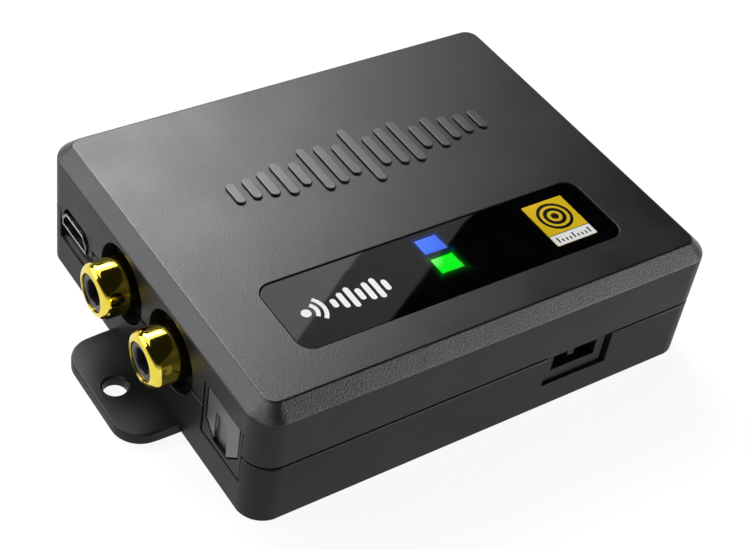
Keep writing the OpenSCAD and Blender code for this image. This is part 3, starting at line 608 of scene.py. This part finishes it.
def ring(bm, x, y, r_in, r_out, z0, z1, steps=64):
    """Closed flat ring."""
    section = ((r_out, z0), (r_out, z1), (r_in, z1), (r_in, z0))
    loops = []
    for i in range(steps):
        a = 2 * math.pi * i / steps
        loops.append([bm.verts.new((x + r * math.cos(a), y + r * math.sin(a), z)) for r, z in section])
    for i in range(steps):
        here, there = loops[i], loops[(i + 1) % steps]
        for j in range(4):
            bm.faces.new((here[j], there[j], there[(j + 1) % 4], here[(j + 1) % 4]))


def rectangle(x0, y0, x1, y1):
    return [(x0, y0), (x1, y0), (x1, y1), (x0, y1)]


def printed(name, outlines, z0, z1, look, rings=()):
    """Thin printed shapes. Outlines and rings are in millimetres."""
    bm = bmesh.new()
    for outline in outlines:
        plate(bm, [(x * MM, y * MM) for x, y in outline], z0, z1)
    for x, y, r_in, r_out in rings:
        ring(bm, x * MM, y * MM, r_in * MM, r_out * MM, z0, z1)
    return add_piece(name, bm, [look], "case")


# ---- Sleeves and insulators ----

# Wall of a sleeve's rim, the step down to its root, and the insulator's lip and bore radii
RIM_WIDTH = 1.25 * MM
ROOT_STEP = 0.35 * MM
INSULATOR_LIP = 1.85 * MM
INSULATOR_BORE = 2.10 * MM


def sleeve_profile(low, high, outer, inner, root, block):
    """Rounded nose, straight barrel, then the thinner root that starts at the block's face."""
    nose = outer - inner - 0.04 * MM
    points = arc(low + nose, outer - nose, nose, 180, 90, 14)
    points += [(block, outer), (block, root), (high, root), (high, inner), (low + 0.30 * MM, inner)]
    points += arc(low + 0.12 * MM, inner + 0.05 * MM, 0.05 * MM, 270, 180, 3)
    return points


def make_jack(which):
    low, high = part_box(f"jack_sleeve_{which}")
    centre = ((low.y + high.y) / 2, (low.z + high.z) / 2)
    outer = (high.y - low.y) / 2
    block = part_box("jack_housing")[0].x
    profile = sleeve_profile(low.x, high.x, outer, outer - RIM_WIDTH, outer - ROOT_STEP, block)
    lathe(f"sleeve_{which}", profile, centre, LOOKS["gold"], (f"jack_sleeve_{which}",))
    low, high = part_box(f"jack_insulator_{which}")
    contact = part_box(f"jack_contact_{which}")[0].x
    outer = (high.y - low.y) / 2
    lip_end = contact - 0.05 * MM
    profile = [(lip_end, INSULATOR_BORE), (lip_end, INSULATOR_LIP), (low.x + 0.40 * MM, INSULATOR_LIP)]
    profile += arc(low.x + 0.36 * MM, INSULATOR_LIP + 0.36 * MM, 0.36 * MM, 262, 188, 6)
    profile += arc(low.x + 0.20 * MM, outer - 0.20 * MM, 0.20 * MM, 180, 90, 5)
    profile += [(high.x, outer), (high.x, INSULATOR_BORE)]
    lathe(f"insulator_{which}", profile, centre, LOOKS["insulator"], (f"jack_insulator_{which}",))


# ---- Light and stage ----

def softbox(name, centre, along, down, size, radiance, colour=(1.0, 1.0, 1.0)):
    """Rectangular area light. along is its long side's direction, down is where it shines."""
    x = Vector(along).normalized()
    z = -Vector(down).normalized()
    y = z.cross(x).normalized()
    x = y.cross(z).normalized()
    data = bpy.data.lights.new(name, "AREA")
    data.shape = "RECTANGLE"
    data.size, data.size_y = size
    data.energy = radiance * math.pi * size[0] * size[1]
    data.color = colour
    light = bpy.data.objects.new(name, data)
    turn = Matrix((x, y, z)).transposed().to_4x4()
    light.matrix_world = Matrix.Translation(Vector(centre)) @ turn
    bpy.context.scene.collection.objects.link(light)
    return light


def shine_only_on(light, pieces):
    """Lets a light reach only some pieces, as a flag in front of a lamp does."""
    group = bpy.data.collections.new(f"{light.name}_reach")
    for piece in pieces:
        group.objects.link(piece)
    light.light_linking.receiver_collection = group


def edge_softbox(name, point, angle, height, length, depth, shift, radiance):
    """Overhead softbox with one long edge through a point, at an angle from +X, lit area to its left."""
    a = math.radians(angle)
    along = Vector((math.cos(a), math.sin(a), 0.0))
    left = Vector((-math.sin(a), math.cos(a), 0.0))
    centre = Vector((point[0], point[1], height)) + along * shift + left * depth / 2
    return softbox(name, centre, along, (0.0, 0.0, -1.0), (length, depth), radiance)


def make_world(zenith, horizon):
    """Sky that is dark above and pale in a band just over the floor's edge."""
    world = bpy.data.worlds.new("studio")
    bpy.context.scene.world = world
    world.use_nodes = True
    tree = world.node_tree
    tree.nodes.clear()
    out = tree.nodes.new("ShaderNodeOutputWorld")
    back = tree.nodes.new("ShaderNodeBackground")
    coords = tree.nodes.new("ShaderNodeTexCoord")
    split = tree.nodes.new("ShaderNodeSeparateXYZ")
    fade = tree.nodes.new("ShaderNodeMapRange")
    mix = tree.nodes.new("ShaderNodeMix")
    mix.data_type = "RGBA"
    fade.inputs["From Min"].default_value = 0.08
    fade.inputs["From Max"].default_value = 0.30
    fade.interpolation_type = "SMOOTHSTEP"
    mix.inputs[6].default_value = (*horizon, 1.0)
    mix.inputs[7].default_value = (*zenith, 1.0)
    tree.links.new(coords.outputs["Generated"], split.inputs[0])
    tree.links.new(split.outputs[2], fade.inputs["Value"])
    tree.links.new(fade.outputs[0], mix.inputs[0])
    tree.links.new(mix.outputs[2], back.inputs["Color"])
    tree.links.new(back.outputs[0], out.inputs["Surface"])


def make_floor():
    """Plain pale floor that glows enough to stay white under the dark sky."""
    bm = bmesh.new()
    bmesh.ops.create_grid(bm, x_segments=8, y_segments=8, size=6.0)
    mesh = bpy.data.meshes.new("floor")
    bm.to_mesh(mesh)
    bm.free()
    floor = bpy.data.objects.new("floor", mesh)
    floor.location = (0.0, 0.0, CAD_BOX[0].z - 0.05 * MM)
    bpy.context.scene.collection.objects.link(floor)
    k = Look("floor_look")
    patches = k.remap(k.noise(60.0, 2.0, 0.5), 0.3, 0.7, 0.0, 1.0)
    tone = k.mix(patches, (0.130, 0.130, 0.130), (0.140, 0.140, 0.140))
    k.set(colour=tone, rough=0.9, spec=0.0, glow=(1.0, 1.0, 1.0), glow_strength=0.92)
    mesh.materials.append(k.mat)
    return floor


# ---- Build ----

make_camera((2.08 * MM, 1.16 * MM, 2.44 * MM), 40.21, 42.47, 10.20, 0.2481, 78.36)

for node, thing in NODES.items():
    thing.data.materials.clear()
    thing.data.materials.append(LOOKS[SLOT_OF[node]])

case_covers = (
    softened("upper_shell", "top_cover", TOP_RULES),
    softened("lower_shell", "base_cover", BASE_RULES),
)
softened("display_window", "window", WINDOW_RULES)
softened("optical_housing", "optical_socket", SOCKET_RULES)
softened("optical_shutter", "shutter_door", SHUTTER_RULES, body="shutter")
softened("usb_shell", "port_shell", PORT_RULES)
softened("power_housing", "supply_socket", SUPPLY_RULES)
for which in ("rear", "front"):
    make_jack(which)

# White mark on the window: two arcs round a dot, then level bars, in millimetres
mark_x, mark_y = -23.1, -16.25
bars_x, bar_pitch, bar_width = -18.7, 1.38, 0.86
mark = [disc(mark_x, mark_y, 0.72)]
for r in (1.62, 2.76):
    mark.append(band(mark_x, mark_y, r - 0.31, r + 0.31, -44, 44))
for i, length in enumerate((1.7, 3.0, 4.0, 2.3, 3.5, 4.0, 2.1)):
    mark.append(capsule(bars_x + i * bar_pitch, mark_y, bar_width, length))
printed("mark_print", mark, WINDOW_TOP, WINDOW_TOP + 0.015 * MM, WHITE_PRINT)

# Badge: yellow field with rings, white strip with nine ticks, in millimetres
bx0, by0 = BADGE_LOW.x / MM, BADGE_LOW.y / MM
bx1, by1 = BADGE_HIGH.x / MM, BADGE_HIGH.y / MM
margin = 0.02
strip_top = by0 + 2.1
tick_pitch, tick_width = 0.7, 0.25
face = BADGE_HIGH.z
layer = 0.008 * MM
field_x, field_y = (bx0 + bx1) / 2, (strip_top + by1) / 2
strip = rectangle(bx0 + margin, by0 + margin, bx1 - margin, strip_top)
printed("badge_strip", [strip], face, face + layer, GREY_PRINT)
badge_shapes = [disc(field_x, field_y, 0.62)]
for i in range(9):
    tick_x, tick_y = bx0 + (i + 1) * tick_pitch, by0 + 0.5
    tall = 1.1 if i % 4 == 0 else 0.6
    badge_shapes.append(rectangle(tick_x, tick_y, tick_x + tick_width, tick_y + tall))
badge_shapes.append(rectangle(bx0 + margin, strip_top, bx1 - margin, strip_top + 0.10))
badge_rings = [(field_x, field_y, r_in, r_out) for r_in, r_out in ((1.15, 1.75), (2.25, 2.75))]
printed("badge_print", badge_shapes, face + layer, face + 2 * layer, BLACK_PRINT, badge_rings)

make_floor()
make_world((0.012, 0.012, 0.013), (0.55, 0.55, 0.55))
# Three overlapping softboxes above and behind, whose edges give the top its bright back left and
# the window its slanting reflection
edge_softbox("softbox_mid", (0.661, 0.743), 29.9, 1.00, 1.8, 1.3, -0.45, 1.42)
edge_softbox("softbox_bright", (0.562, 0.764), 33.1, 1.01, 1.0, 1.2, -0.12, 3.3)
edge_softbox("softbox_far", (0.450, 0.950), 33.1, 1.02, 0.92, 1.1, -0.04, 8.6)
# Lights that the sloping edges, the walls and their corners face, front right and back left
edge_front = softbox(
    "edge_front", (0.72, -0.91, 0.66), (0.79, 0.62, 0.0), (-0.54, 0.67, -0.50), (0.90, 0.34), 4.4,
)
softbox("low_front", (0.92, -0.92, 0.24), (0.71, 0.71, 0.0), (-0.70, 0.70, -0.17), (0.95, 0.36), 6.6)
softbox("edge_left", (-0.98, 0.86, 0.50), (0.66, 0.75, 0.0), (0.68, -0.60, -0.36), (0.95, 0.80), 4.0)
# Two fills that the front left corner faces. They and edge_front would show in the gold, so they
# reach only the case.
fill_left = softbox(
    "fill_left", (-1.2, -0.9, 0.9), (0.6, -0.8, 0.0), (1.2, 0.9, -0.85), (1.6, 1.0), 1.6,
)
fill_corner = softbox(
    "fill_corner", (-1.08, 0.10, 1.03), (0.15, -0.97, 0.26), (1.08, -0.10, -1.03), (1.1, 0.55), 4.2,
)
for light in (edge_front, fill_left, fill_corner):
    shine_only_on(light, case_covers)

bpy.context.scene.view_settings.view_transform = "Standard"
